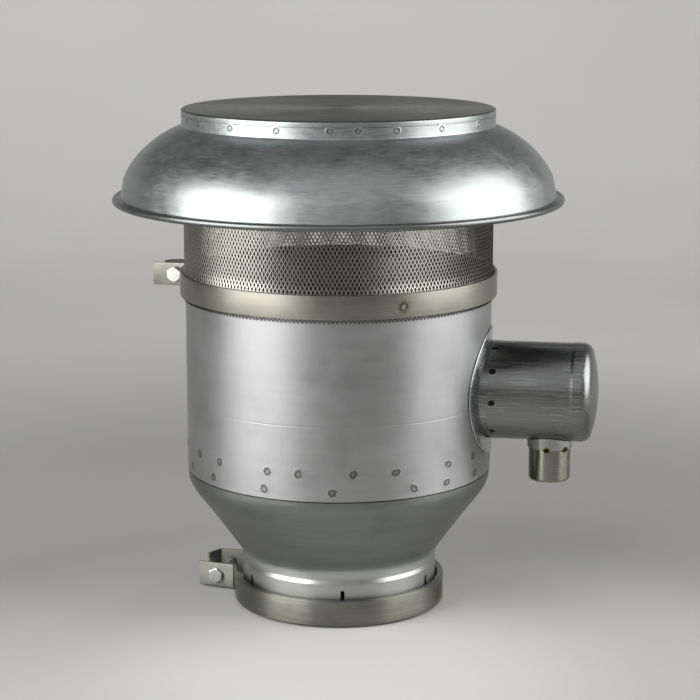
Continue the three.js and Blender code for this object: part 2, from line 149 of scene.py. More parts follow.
def bezier(p0, p1, p2, p3, steps):
    """A cubic curve's points, ends included."""
    p0, p1, p2, p3 = (np.array(p, float) for p in (p0, p1, p2, p3))
    ts = np.linspace(0, 1, steps + 1)[:, None]
    curve = (1 - ts) ** 3 * p0 + 3 * (1 - ts) ** 2 * ts * p1 + 3 * (1 - ts) * ts ** 2 * p2 + ts ** 3 * p3
    return [tuple(p) for p in curve]


def subdivided(points, step):
    """The same line with points added where its second coordinate climbs more than the step."""
    line = []
    for low, high in zip(points, points[1:]):
        low, high = np.array(low), np.array(high)
        count = max(1, int(abs(high[1] - low[1]) / step))
        line += [tuple(low + (high - low) * k / count) for k in range(count)]
    return line + [points[-1]]


def offset_line(points, distance):
    """The line beside a line of points, to its left."""
    line = np.array(points, float)
    steps = np.diff(line, axis=0)
    steps /= np.linalg.norm(steps, axis=1)[:, None]
    normals = np.stack([-steps[:, 1], steps[:, 0]], axis=1)
    before = np.vstack([normals[:1], normals])
    after = np.vstack([normals, normals[-1:]])
    mean = before + after
    mean /= np.linalg.norm(mean, axis=1)[:, None]
    stretch = distance / np.sum(mean * after, axis=1)
    return [tuple(p) for p in line + mean * stretch[:, None]]


def sheet_section(points, thickness):
    """A closed outline: the line, and back beside it."""
    return list(points) + offset_line(points, thickness)[::-1]


def smooth(mesh, sharp=32):
    """Smooth shading apart from edges sharper than the angle."""
    mesh.polygons.foreach_set("use_smooth", [True] * len(mesh.polygons))
    mesh.set_sharp_from_angle(angle=math.radians(sharp))


def new_mesh(name, verts, faces, material, sharp=32):
    """A piece from vertices in millimetres, smooth apart from edges sharper than the angle."""
    mesh = bpy.data.meshes.new(name)
    mesh.from_pydata((np.asarray(verts, float) * MM).tolist(), [], faces)
    mesh.update()
    smooth(mesh, sharp)
    mesh.materials.append(material)
    piece = bpy.data.objects.new(name, mesh)
    bpy.context.scene.collection.objects.link(piece)
    return piece


def ring_faces(pairs, count):
    """Faces between pairs of closed rings of vertices, each with the same count."""
    faces = []
    for a, b in pairs:
        for k in range(count):
            n = (k + 1) % count
            faces.append((a * count + k, a * count + n, b * count + n, b * count + k))
    return faces


def lathe(name, outline, material, sides=256, axis=Z, centre=(0, 0, 0), ripple=None, sharp=32):
    """Turn a closed outline of (radius, height) about Z, or about X. ripple moves a point's radius."""
    area = sum(a[0] * b[1] - b[0] * a[1] for a, b in zip(outline, outline[1:] + outline[:1]))
    if area < 0:
        outline = outline[::-1]
    angles = np.arange(sides) / sides * TAU
    verts = []
    rings = []
    for radius, height in outline:
        if radius < 1e-6:
            rings.append([len(verts)] * sides)
            verts.append((0, 0, height))
            continue
        start = len(verts)
        radii = np.full(sides, radius) if ripple is None else radius + ripple(angles, height)
        verts.extend(zip(radii * np.cos(angles), radii * np.sin(angles), [height] * sides))
        rings.append(list(range(start, start + sides)))
    faces = []
    for low, high in zip(rings, rings[1:] + rings[:1]):
        for i in range(sides):
            j = (i + 1) % sides
            corners = [low[i], low[j], high[j], high[i]]
            face = [c for k, c in enumerate(corners) if c != corners[k - 1]]
            if len(set(face)) > 2:
                faces.append(face)
    verts = np.array(verts)
    if axis == X:
        verts = verts[:, [2, 0, 1]]
    return new_mesh(name, verts + np.array(centre), faces, material, sharp)


def cylinder(radius, low, high, material, sides=64, axis=Z, centre=(0, 0, 0)):
    """A solid to cut a hole with, about an axis from low to high."""
    outline = [(0, low), (radius, low), (radius, high), (0, high)]
    return lathe("cutter", outline, material, sides, axis, centre)


def sweep_plan(name, path, section, material):
    """Carry a closed section of (offset to the left, height) along an open line in plan."""
    section = np.array(section, float)
    area = np.sum(section[:, 0] * np.roll(section[:, 1], -1) - np.roll(section[:, 0], -1) * section[:, 1])
    if area < 0:
        section = section[::-1]
    sides = [np.array(offset_line(path, offset)) for offset in section[:, 0]]
    count = len(section)
    verts = []
    for i in range(len(path)):
        for k in range(count):
            verts.append((sides[k][i][0], sides[k][i][1], section[k][1]))
    faces = ring_faces([(i, i + 1) for i in range(len(path) - 1)], count)
    last = (len(path) - 1) * count
    faces.append(tuple(range(count))[::-1])
    faces.append(tuple(range(last, last + count)))
    return new_mesh(name, verts, faces, material)


def join(name, parts):
    """Put several pieces' meshes into one piece, each with its own material slots."""
    bpy.ops.object.select_all(action="DESELECT")
    for part in parts:
        part.select_set(True)
    bpy.context.view_layer.objects.active = parts[0]
    bpy.ops.object.join()
    parts[0].name = name
    parts[0].data.name = name
    return parts[0]


def cut(piece, cutter):
    """Take the cutter's shape away from a piece."""
    step = piece.modifiers.new("cut", "BOOLEAN")
    step.operation = "DIFFERENCE"
    step.solver = "EXACT"
    step.object = cutter
    bpy.context.view_layer.objects.active = piece
    bpy.ops.object.modifier_apply(modifier="cut")
    bpy.data.objects.remove(cutter)
    smooth(piece.data)


def place(piece, start, direction):
    """Stand a piece made about Z at a point in millimetres, along a direction, by its vertices."""
    turn = Vector((0, 0, 1)).rotation_difference(Vector(direction)).to_matrix().to_4x4()
    piece.data.transform(Matrix.Translation(Vector(start) * MM) @ turn)
    return piece


def finish_piece(piece, body, slot, *nodes):
    """Ride on a body and stand for CAD nodes, which it hides. slot is not used."""
    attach(piece, body)
    if nodes:
        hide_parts(*nodes)
    return piece


# ------------------------------------------------------------------ materials
class Nodes:
    """A material's node tree, with short calls to add and link nodes."""

    def __init__(self, name):
        self.material = bpy.data.materials.new(name)
        self.material.use_nodes = True
        self.tree = self.material.node_tree
        self.shader = self.tree.nodes["Principled BSDF"]
        self.coords = self.add("ShaderNodeTexCoord").outputs["Object"]

    def add(self, kind, **settings):
        node = self.tree.nodes.new(kind)
        for key, value in settings.items():
            setattr(node, key, value)
        return node

    def wire(self, source, socket):
        if isinstance(source, (int, float, tuple)):
            socket.default_value = source
        else:
            self.tree.links.new(source, socket)

    def math(self, operation, *values, clamp=False):
        node = self.add("ShaderNodeMath", operation=operation, use_clamp=clamp)
        for value, socket in zip(values, node.inputs):
            self.wire(value, socket)
        return node.outputs[0]

    def scaled(self, vector, scale):
        node = self.add("ShaderNodeVectorMath", operation="MULTIPLY")
        self.wire(vector, node.inputs[0])
        node.inputs[1].default_value = scale
        return node.outputs[0]

    def noise(self, vector, scale, detail=3.0, roughness=0.55, distortion=0.0):
        node = self.add("ShaderNodeTexNoise")
        self.wire(vector, node.inputs["Vector"])
        node.inputs["Scale"].default_value = scale
        node.inputs["Detail"].default_value = detail
        node.inputs["Roughness"].default_value = roughness
        node.inputs["Distortion"].default_value = distortion
        return node.outputs["Fac"]

    def ramp(self, value, *stops):
        """Map a value through stops (position, brightness or colour)."""
        node = self.add("ShaderNodeValToRGB")
        self.wire(value, node.inputs[0])
        elements = node.color_ramp.elements
        while len(elements) < len(stops):
            elements.new(0.5)
        for element, (position, colour) in zip(elements, stops):
            element.position = position
            red_green_blue = (colour,) * 3 if isinstance(colour, float) else colour
            element.color = (*red_green_blue, 1)
        return node.outputs[0]

    def mix(self, factor, a, b, blend="MIX"):
        node = self.add("ShaderNodeMix", data_type="RGBA", blend_type=blend)
        self.wire(factor, node.inputs[0])
        self.wire(a, node.inputs[6])
        self.wire(b, node.inputs[7])
        return node.outputs[2]

    def times(self, a, b):
        return self.mix(1.0, a, b, "MULTIPLY")

    def round_coords(self, wrap):
        """(turns round Z times wrap, radius, height): a grain drawn in these runs round the object."""
        split = self.add("ShaderNodeSeparateXYZ")
        self.wire(self.coords, split.inputs[0])
        angle = self.math("ARCTAN2", split.outputs[1], split.outputs[0])
        squares = [self.math("POWER", split.outputs[k], 2) for k in (X, Y)]
        radius = self.math("SQRT", self.math("ADD", *squares))
        joined = self.add("ShaderNodeCombineXYZ")
        self.wire(self.math("MULTIPLY", angle, wrap), joined.inputs[0])
        self.wire(radius, joined.inputs[1])
        self.wire(split.outputs[2], joined.inputs[2])
        return joined.outputs[0]

    def grain_direction(self, round_grain, centre):
        """The way the grain runs: round an upright axis, or along X."""
        joined = self.add("ShaderNodeCombineXYZ")
        if round_grain:
            split = self.add("ShaderNodeSeparateXYZ")
            self.wire(self.coords, split.inputs[0])
            self.wire(self.math("SUBTRACT", centre[1] * MM, split.outputs[1]), joined.inputs[0])
            self.wire(self.math("SUBTRACT", split.outputs[0], centre[0] * MM), joined.inputs[1])
        else:
            joined.inputs[0].default_value = 1.0
        return joined.outputs[0]

    def bump(self, height, strength, distance, before=None):
        node = self.add("ShaderNodeBump")
        node.inputs["Strength"].default_value = strength
        node.inputs["Distance"].default_value = distance
        self.wire(height, node.inputs["Height"])
        if before is not None:
            self.wire(before, node.inputs["Normal"])
        return node.outputs[0]


def linear(level):
    """An sRGB level from 0 to 255 as linear light."""
    c = level / 255
    return c / 12.92 if c <= 0.04045 else ((c + 0.055) / 1.055) ** 2.4


def rgb(red, green, blue):
    """An sRGB colour as linear light."""
    return (linear(red), linear(green), linear(blue))


def steel(name, colour, roughness, grain=(0.02, 1, 1), grain_scale=900, round_grain=True, smudge=0.25,
          streaks=0.3, bump=0.04, cloud=14, weld=None, scratches=0.0, brushed=0.0, centre=(0, 0), painted_light_by_height=None):
    """Bare sheet metal: cloudy handling marks, a fine grain the way it was rolled or spun, and scratches.

    grain is how far the grain stretches along each of (round or x, radius or y, height or z).
    weld is (core, rim, halo) colours of a spot weld, drawn by the piece's "weld" attribute from 0 at its
    middle to 1 at its edge. brushed is how much the grain spreads a highlight across itself, and centre is
    the point in plan that a round grain runs about. The last argument is (z0, tone, z1, tone) of painted
    light
    and shade: the colour is multiplied by a tone that goes evenly from one to the other between the two
    heights.
    """
    m = Nodes(name)
    base = m.round_coords(BODY_R * MM) if round_grain else m.coords
    along = m.scaled(base, grain)
    fine = m.noise(along, grain_scale, 4, 0.65)
    broad = m.noise(along, grain_scale * 0.12, 3, 0.6)
    clouds = m.noise(m.coords, cloud, 5, 0.6, 0.4)
    speckle = m.noise(m.coords, 260, 2, 0.5)
    tone = m.ramp(clouds, (0.3, 1 - smudge), (0.5, 1.0), (0.72, 1 + smudge * 0.6))
    plain = (*colour, 1)
    shade = m.times(plain, tone)
    grain_tone = m.ramp(fine, (0.3, 1 - streaks * 0.5), (0.7, 1 + streaks * 0.5))
    shade = m.times(shade, grain_tone)
    broad_tone = m.ramp(broad, (0.35, 1 - streaks * 0.3), (0.65, 1 + streaks * 0.3))
    shade = m.times(shade, broad_tone)
    # Painted light and shade: the colour is scaled by a tone that changes evenly between two heights.
    if painted_light_by_height:
        z0, tone0, z1, tone1 = painted_light_by_height
        reach = m.add("ShaderNodeMapRange")
        split = m.add("ShaderNodeSeparateXYZ")
        m.wire(m.coords, split.inputs[0])
        m.wire(split.outputs[2], reach.inputs[0])
        for socket, value in zip(reach.inputs[1:5], (z0 * MM, z1 * MM, tone0, tone1)):
            socket.default_value = value
        shade = m.times(shade, reach.outputs[0])
    rough = m.math("MULTIPLY_ADD", clouds, 0.22, roughness - 0.11)
    rough = m.math("ADD", rough, m.math("MULTIPLY", m.math("SUBTRACT", fine, 0.5), 0.25), clamp=True)
    height = m.math("ADD", m.math("MULTIPLY", fine, 0.7), m.math("MULTIPLY", speckle, 0.3))
    normal = m.bump(height, bump, 0.0008)
    if scratches > 0:
        thin = m.noise(m.scaled(base, tuple(1.6 * g for g in grain)), grain_scale * 0.8, 1, 0.4)
        lines = m.ramp(thin, (0.60, 0.0), (0.65, 1.0))
        patchy = m.ramp(m.noise(m.coords, 24, 2, 0.5), (0.45, 0.0), (0.58, 1.0))
        mark = m.math("MULTIPLY", m.math("MULTIPLY", lines, patchy), scratches)
        bright = tuple(min(1.0, 2.1 * c + 0.1) for c in colour)
        shade = m.mix(mark, shade, (*bright, 1))
        normal = m.bump(lines, 0.25 * scratches, 0.0006, normal)
    if weld:
        core, rim, halo = weld
        reach = m.add("ShaderNodeAttribute", attribute_name="weld").outputs["Fac"]
        waver = m.math("MULTIPLY", m.math("SUBTRACT", m.noise(m.coords, 520, 3), 0.5), 0.9)
        spot = ((0.0, core), (0.2, core), (0.34, rim), (0.62, rim), (0.74, halo), (0.97, (1.0, 1.0, 1.0)))
        tint = m.ramp(m.math("ADD", reach, waver), *spot)
        shade = m.times(shade, tint)
    m.wire(shade, m.shader.inputs["Base Color"])
    m.wire(rough, m.shader.inputs["Roughness"])
    m.wire(normal, m.shader.inputs["Normal"])
    m.shader.inputs["Metallic"].default_value = 1.0
    if brushed > 0:
        m.shader.inputs["Anisotropic"].default_value = brushed
        m.shader.inputs["Anisotropic Rotation"].default_value = 0.25
        m.wire(m.grain_direction(round_grain, centre), m.shader.inputs["Tangent"])
    return m.material


def rubber(name, colour, roughness=0.75):
    """Rubber, plastic or paint with a fine uneven surface."""
    m = Nodes(name)
    grainy = m.noise(m.coords, 600, 3, 0.6)
    shade = m.times((*colour, 1), m.ramp(grainy, (0.3, 0.7), (0.7, 1.3)))
    m.wire(shade, m.shader.inputs["Base Color"])
    m.wire(m.math("MULTIPLY_ADD", grainy, 0.2, roughness - 0.1), m.shader.inputs["Roughness"])
    m.wire(m.bump(grainy, 0.2, 0.0004), m.shader.inputs["Normal"])
    return m.material


def winding(name):
    """Copper wire laid round the motor."""
    m = Nodes(name)
    strands = m.noise(m.scaled(m.round_coords(0.04), (0.03, 1, 1)), 900, 2, 0.6)
    shade = m.ramp(strands, (0.35, (0.16, 0.05, 0.02)), (0.6, (0.62, 0.25, 0.1)))
    m.wire(shade, m.shader.inputs["Base Color"])
    m.shader.inputs["Metallic"].default_value = 0.9
    m.shader.inputs["Roughness"].default_value = 0.35
    m.wire(m.bump(strands, 0.5, 0.0006), m.shader.inputs["Normal"])
    return m.material


# Welds: the colours of the core, the rim and the halo round it, each times the sheet's own colour.
BODY_SPOT = ((0.7, 0.7, 0.66), (0.38, 0.38, 0.34), (1.12, 1.12, 1.08))
HOOD_SPOT = ((0.9, 0.89, 0.84), (0.5, 0.49, 0.45), (1.1, 1.1, 1.1))
BAND_SPOT = ((1.1, 1.2, 1.3), (0.55, 0.52, 0.48), (0.85, 0.66, 0.45))
POD_SPOT = ((0.10, 0.10, 0.08), (0.10, 0.10, 0.08), (1.5, 1.5, 1.3))
SADDLE_SPOT = ((0.8, 0.72, 0.5), (0.95, 0.9, 0.75), (1.0, 1.0, 0.95))
TACK = ((0.12, 0.1, 0.09), (0.30, 0.22, 0.14), (1.1, 1.0, 0.7))
HEAT_MARK = ((0.62, 0.56, 0.66), (0.55, 0.46, 0.46), (1.12, 0.92, 0.6))
# Grains: none at all, one round a spun part, and one along the side housing.
NO_GRAIN = dict(grain=(1, 1, 1), round_grain=False)
SPUN = dict(grain=(0.25, 1, 1))
DRAWN = dict(grain=(0.02, 1, 1), round_grain=False)
# Looks that a sheet and the welds on it share.
BODY = dict(colour=rgb(160, 161, 163), roughness=0.47, smudge=0.1, streaks=0.06, bump=0.02, brushed=0.45)
BAND = dict(colour=rgb(139, 138, 130), roughness=0.42, smudge=0.2, streaks=0.2, bump=0.04)
CLAMP = dict(colour=rgb(124, 125, 118), roughness=0.42, smudge=0.2, streaks=0.3, bump=0.04, brushed=0.85)
POD = dict(colour=rgb(122, 124, 124), roughness=0.28, smudge=0.12, streaks=0.22, bump=0.04, **DRAWN)
SADDLE = dict(colour=rgb(184, 188, 188), roughness=0.26, smudge=0.1, streaks=0.12, bump=0.03, **NO_GRAIN)

body_steel = steel("body_steel", **BODY)
body_weld_steel = steel("body_weld_steel", weld=BODY_SPOT, **BODY)
# Painted reflection: below 62 mm the cone is painted lighter, up to twice as light below 50 mm, for the floor
# it reflects.
cone_steel = steel("cone_steel", rgb(122, 125, 122), 0.40, smudge=0.16, streaks=0.16, bump=0.04, brushed=0.4,
                   painted_light_by_height=(50, 2.0, 62, 1.0))
collar_steel = steel("collar_steel", rgb(170, 171, 168), 0.37, smudge=0.1, streaks=0.1, bump=0.03,
                     brushed=0.5)
hood_steel = steel("hood_steel", rgb(154, 161, 161), 0.39, grain_scale=420, smudge=0.09, streaks=0.2,
                   bump=0.06, cloud=40, brushed=0.2, **SPUN)
hood_weld_steel = steel("hood_weld_steel", rgb(164, 171, 171), 0.36, smudge=0.14, streaks=0.08, bump=0.03,
                        weld=HOOD_SPOT, **SPUN)
# Painted shade: the bead is the hood's steel painted about half as light, for the dark room above that its
# top reflects.
bead_painted_shade_steel = steel("bead_painted_shade_steel", rgb(118, 122, 122), 0.32, smudge=0.12, streaks=0.1, bump=0.03, **SPUN)
# Painted shade: the lid's top is painted dark grey, for the dark room overhead that it reflects.
lid_painted_shade_steel = steel("lid_painted_shade_steel", rgb(91, 92, 90), 0.36, smudge=0.25, streaks=0.1, bump=0.03, brushed=0.5)
# Painted shade: below 319 mm, round and under the upper band's lower edge, the screen is painted darker, down
# to 0.12 below 313 mm.
mesh_steel = steel("mesh_steel", rgb(150, 148, 142), 0.36, smudge=0.1, streaks=0.05, bump=0.02,
                   painted_light_by_height=(313, 0.12, 319, 1.0))
band_steel = steel("band_steel", brushed=0.45, **BAND)
band_weld_steel = steel("band_weld_steel", brushed=0.5, weld=BAND_SPOT, **BAND)
clamp_steel = steel("clamp_steel", **CLAMP)
tinted_clamp_steel = steel("tinted_clamp_steel", weld=HEAT_MARK, **CLAMP)
heat_tint = steel("heat_tint", rgb(96, 84, 74), 0.4, smudge=0.5, streaks=0.3, bump=0.05, cloud=90)
pod_steel = steel("pod_steel", scratches=0.45, **POD)
pod_weld_steel = steel("pod_weld_steel", weld=POD_SPOT, **POD)
saddle_steel = steel("saddle_steel", **SADDLE)
saddle_weld_steel = steel("saddle_weld_steel", weld=SADDLE_SPOT, **SADDLE)
tack_steel = steel("tack_steel", rgb(110, 94, 62), 0.5, grain=(1, 1, 1), smudge=0.5, streaks=0.3, bump=0.2,
                   cloud=300, weld=TACK)
zinc = steel("zinc", rgb(222, 224, 220), 0.26, smudge=0.18, streaks=0.2, bump=0.05, **NO_GRAIN)
polished = steel("polished", rgb(138, 137, 129), 0.25, smudge=0.06, streaks=0.12, bump=0.006, brushed=0.95,
                 centre=(STUB_X, 0))
galvanised = steel("galvanised", rgb(172, 174, 171), 0.34, grain_scale=60, smudge=0.2, streaks=0.25,
                   bump=0.04, **NO_GRAIN)
machined = steel("machined", rgb(180, 182, 184), 0.2, smudge=0.08, streaks=0.2, bump=0.03)
laminated = steel("laminated", rgb(90, 90, 92), 0.5, grain=(0.01, 0.01, 1), grain_scale=1400, smudge=0.1,
                  streaks=0.6, bump=0.15)
blade_metal = steel("blade_metal", rgb(176, 179, 181), 0.36, smudge=0.12, streaks=0.15, bump=0.03)
motor_paint = rubber("motor_paint", rgb(58, 60, 62), 0.45)
black_rubber = rubber("black_rubber", rgb(28, 28, 29))
dark_plastic = rubber("dark_plastic", rgb(40, 38, 36), 0.5)
copper = winding("copper")


# ------------------------------------------------------------------ body, cone and collar
def sheet_ripple(size, seed):
    """Slow waves in a rolled sheet, in millimetres, the same at each run."""
    rng = np.random.default_rng(seed)
    waves = []
    for _ in range(7):
        turns, rise = int(rng.integers(2, 9)), rng.uniform(0.01, 0.045)
        phase, lift = rng.uniform(0, TAU), rng.uniform(0, TAU)
        waves.append((turns, rise, phase, lift))

    def ripple(angles, height):
        total = np.zeros_like(angles)
        for turns, rise, phase, lift in waves:
            total += np.sin(turns * angles + phase + rise * height + lift)
        return total * size / len(waves)

    return ripple


def make_body():
    """The body tube, with a fine line pressed round it."""
    groove = 211
    outside = [
        (BODY_R, BODY_Z0),
        (BODY_R, groove - 1.0),
        (BODY_R, groove - 0.4),
        (BODY_R - 0.12, groove),
        (BODY_R, groove + 0.4),
        (BODY_R, groove + 1.0),
        (BODY_R, BODY_Z1 - 40),
        (BODY_R, BODY_Z1),
    ]
    section = sheet_section(subdivided(outside, 12), 1.4)
    piece = lathe("body_skin", section, body_steel, ripple=sheet_ripple(0.22, 3))
    return finish_piece(piece, "base", "body_steel", "body_shell")


def make_cone():
    """The cone: a short neck over the collar, a curved flare, and a skirt that sits inside the body."""
    skirt_r = BODY_R - 1.8
    band_low = BODY_Z0 - 5
    curve = bezier((126.7, 92), (139.3, 110), (BODY_R - 0.4, 121), (BODY_R - 0.3, band_low), 16)
    outside = rounded([(COLLAR_R + 0.1, CONE_Z0), (COLLAR_R + 0.3, 53, 9), (126.7, 92)], steps=8)[:-1]
    outside += curve
    outside += [(BODY_R - 0.3, BODY_Z0 - 1.3), (skirt_r, BODY_Z0 - 0.9), (skirt_r, CONE_Z1)]
    piece = lathe("cone_skin", sheet_section(outside, 1.2), cone_steel, ripple=sheet_ripple(0.1, 5))
    return finish_piece(piece, "base", "cone_steel", "cone_transition")


def make_collar():
    """The duct collar: a tube with round-ended slots up from its lower edge."""
    shoulder = 39.6
    outside = rounded([
        (COLLAR_R, -FLOOR_GAP),
        (COLLAR_R, shoulder, 3),
        (COLLAR_R - 1.5, shoulder + 4, 2),
        (COLLAR_R - 1.5, COLLAR_Z1),
    ], steps=6)
    piece = lathe("collar_skin", sheet_section(outside, 1.2), collar_steel, sides=240)
    slots = []
    profile = rounded([(-2, -5), (2, -5), (2, 34, 1.99), (-2, 34, 1.99)], steps=8, closed=True)
    verts = [(COLLAR_R + depth, u, v) for depth in (-10, 10) for u, v in profile]
    count = len(profile)
    faces = ring_faces([(0, 1)], count)
    faces += [tuple(range(count))[::-1], tuple(range(count, 2 * count))]
    for turn in (2, 62, 122, 182, 242, 297.5):
        slot = new_mesh("slot", verts, faces, collar_steel)
        slot.data.transform(Matrix.Rotation(math.radians(FRONT + turn), 4, "Z"))
        slots.append(slot)
    cut(piece, join("slots", slots))
    return finish_piece(piece, "base", "body_steel", "duct_collar")


# ------------------------------------------------------------------ hood
def make_lid():
    """The lid: a shallow inverted pan whose skirt sits in the bell's neck."""
    skirt_r = NECK_R - 1.1
    outline = rounded([
        (skirt_r - 1, LID_Z0),
        (skirt_r, LID_Z0),
        (skirt_r, NECK_Z1 + 0.45),
        (LID_R, NECK_Z1 + 0.45, 0.3),
        (LID_R, HOOD_Z1, 1.7),
        (LID_R - 14, HOOD_Z1),
        (60, HOOD_Z1 - 0.25),
        (0, HOOD_Z1 - 0.3),
        (0, HOOD_Z1 - 1.5),
        (LID_R - 14, HOOD_Z1 - 1.2),
        (skirt_r - 1, HOOD_Z1 - 1.4, 0.6),
    ], steps=8, closed=True)
    piece = lathe("hood_lid_skin", outline, lid_painted_shade_steel, sides=256)
    # The top takes the lid's painted-shade steel; the faces below it take the plain hood steel.
    piece.data.materials.append(hood_steel)
    for face in piece.data.polygons:
        if face.center.z < (HOOD_Z1 - 1.0) * MM:
            face.material_index = 1
    return finish_piece(piece, "hood", "hood_steel", "hood_lid")


def make_bell():
    """The bell: a neck, a spun dome, a conical skirt below a crease, and a bead rolled at the edge."""
    crease = 429
    neck = rounded([(NECK_R, NECK_Z1), (NECK_R, 481.2, 1.6), (157.2, 479.6)], steps=6)
    dome = bezier((157.2, 479.6), (180.2, 470.9), (203.4, 451), (211.3, crease + 0.8), 56)
    skirt = [(211.45, crease), (211.75, crease - 0.8), (213.2, 420), (214.9, 411.8)]
    outside = neck + dome[1:] + skirt
    bead_r, bead_z, bead = RIM_R - 3.2, 408.8, 3.2
    roll = [(bead_r + bead * math.cos(math.radians(a)), bead_z + bead * math.sin(math.radians(a)))
            for a in range(128, -163, -10)]
    inside = offset_line(outside, -0.9)[::-1]
    piece = lathe("hood_bell_skin", outside + roll + inside, hood_steel, sides=320,
                  ripple=sheet_ripple(0.16, 11))
    # The bead's faces take the painted-shade bead steel.
    piece.data.materials.append(bead_painted_shade_steel)
    skirt_edge_r, skirt_edge_z = 214, 412
    for face in piece.data.polygons:
        if face.center.z < skirt_edge_z * MM and face.center.xy.length > skirt_edge_r * MM:
            face.material_index = 1
    return finish_piece(piece, "hood", "hood_steel", "hood_bell")


# ------------------------------------------------------------------ expanded-metal screen
MESH_COLUMNS = 237
MESH_HALF_HEIGHT = 3.7
STRAND = 0.95
STRAND_THICKNESS = 0.7
STRAND_LEAN = 0.22


def screen_radius(z):
    """Middle of the screen's sheet at a height."""
    heights = [SCREEN_Z0, 338.5, 344, 405, 468, SCREEN_Z1]
    radii = [SCREEN_R - 0.4, SCREEN_R - 0.4, SCREEN_R - 2, SCREEN_R - 2, SCREEN_R - 3.6, SCREEN_R - 3.6]
    return np.interp(z, heights, radii)


def expanded_metal(name, z_low, z_high):
    """A sleeve of slit and stretched sheet: diamonds in staggered rows, with strands that lean one way."""
    half_angle = math.pi / MESH_COLUMNS
    half_width = (SCREEN_R - 2) * half_angle
    length = math.hypot(half_width, MESH_HALF_HEIGHT)
    hole_w = half_width - STRAND / 2 * length / MESH_HALF_HEIGHT
    hole_h = MESH_HALF_HEIGHT - STRAND / 2 * length / half_width
    rows = range(int((z_low - SCREEN_Z0) / MESH_HALF_HEIGHT), int((z_high - SCREEN_Z0) / MESH_HALF_HEIGHT))
    rng = np.random.default_rng(21)
    verts = []
    faces = []
    shared = {}

    def corner(column, row, side):
        key = (column % (2 * MESH_COLUMNS), row, side)
        if key not in shared:
            shared[key] = len(verts)
            z = SCREEN_Z0 + row * MESH_HALF_HEIGHT
            depth = STRAND_THICKNESS / 2 * (1 if side else -1)
            angle = column * half_angle + rng.normal(0, 0.0004)
            verts.append((angle, screen_radius(z) + depth, z + rng.normal(0, 0.08)))
        return shared[key]

    ring = [(-1, 0), (0, -1), (1, 0), (0, 1)]
    for row in rows:
        for column in range(row % 2, 2 * MESH_COLUMNS, 2):
            middle_row = row + 1
            z = SCREEN_Z0 + middle_row * MESH_HALF_HEIGHT
            angle = column * half_angle
            layers = []
            for side in (0, 1):
                outer = [corner(column + dx, middle_row + dz, side) for dx, dz in ring]
                inner = []
                for dx, dz in ring:
                    depth = STRAND_THICKNESS / 2 * (1 if side else -1) + STRAND_LEAN * dx
                    inner.append(len(verts))
                    here = z + dz * hole_h
                    verts.append((angle + dx * hole_w / screen_radius(z), screen_radius(here) + depth, here))
                layers.append((outer, inner))
            (back, back_hole), (front, front_hole) = layers
            for k in range(4):
                n = (k + 1) % 4
                faces.append((front[k], front[n], front_hole[n], front_hole[k]))
                faces.append((back[n], back[k], back_hole[k], back_hole[n]))
                faces.append((front_hole[k], front_hole[n], back_hole[n], back_hole[k]))
    angles, radii, heights = np.array(verts).T
    points = np.stack([radii * np.cos(angles), radii * np.sin(angles), heights], axis=1)
    return new_mesh(name, points, faces, mesh_steel, sharp=50)


def make_screen():
    """The screen's sleeve, in a lower and an upper piece that overlap by half a millimetre."""
    split = 398
    lower = expanded_metal("screen_mesh_lower", SCREEN_Z0, split)
    upper = expanded_metal("screen_mesh_upper", split - 0.5, SCREEN_Z1 - 6)
    finish_piece(lower, "hood", "screen_mesh", "screen")
    finish_piece(upper, "hood", "screen_mesh", "screen")


# ------------------------------------------------------------------ clamp bands and bolts
def band_section(thickness, z0, z1, edge):
    """A flat bar's section, inward from its outer face."""
    corners = [(0, z0, edge), (0, z1, edge), (-thickness, z1, edge), (-thickness, z0, edge)]
    return rounded(corners, steps=4, closed=True)


def ring_arc(radius, start, end, step=1.5):
    """Points in plan on a circle, from one angle to another in degrees."""
    count = int(abs(end - start) / step)
    return [polar(radius, start + (end - start) * k / count) for k in range(count + 1)]


def bolt_line(front, rear, z):
    """A clamp bolt's start, direction and span, from where it meets the two ears (radius, angle)."""
    start = Vector((*polar(*front), z))
    end = Vector((*polar(*rear), z))
    return start, (end - start).normalized(), (end - start).length


def drill_ears(band, start, direction, span):
    """Cut the bolt's hole through both ears of a band."""
    cut(band, place(cylinder(4.6, -20, span + 20, band_steel, sides=32), start, direction))


def make_upper_band(line):
    """The upper band: a flat bar round the screen's flare, with an ear bent out at each end."""
    ear = rounded([
        polar(186.1, 172.6),
        (*polar(179.8, 169.9), 3.6),
        (*polar(UPPER_BAND_R, 167.5), 3.0),
        polar(UPPER_BAND_R, 164),
    ], steps=6)
    tail = rounded([
        polar(UPPER_BAND_R, -179.2),
        (*polar(UPPER_BAND_R, -182.7), 3.0),
        polar(192.8, -182.7),
    ], steps=6)
    path = ear[:-1] + ring_arc(UPPER_BAND_R, 164, -179.2) + tail[1:]
    section = band_section(2.7, UPPER_BAND_Z0, UPPER_BAND_Z1, 0.5)
    band = sweep_plan("upper_band_skin", path, section, band_steel)
    drill_ears(band, *line)
    return finish_piece(band, "hood", "band_steel", "upper_clamp_band")


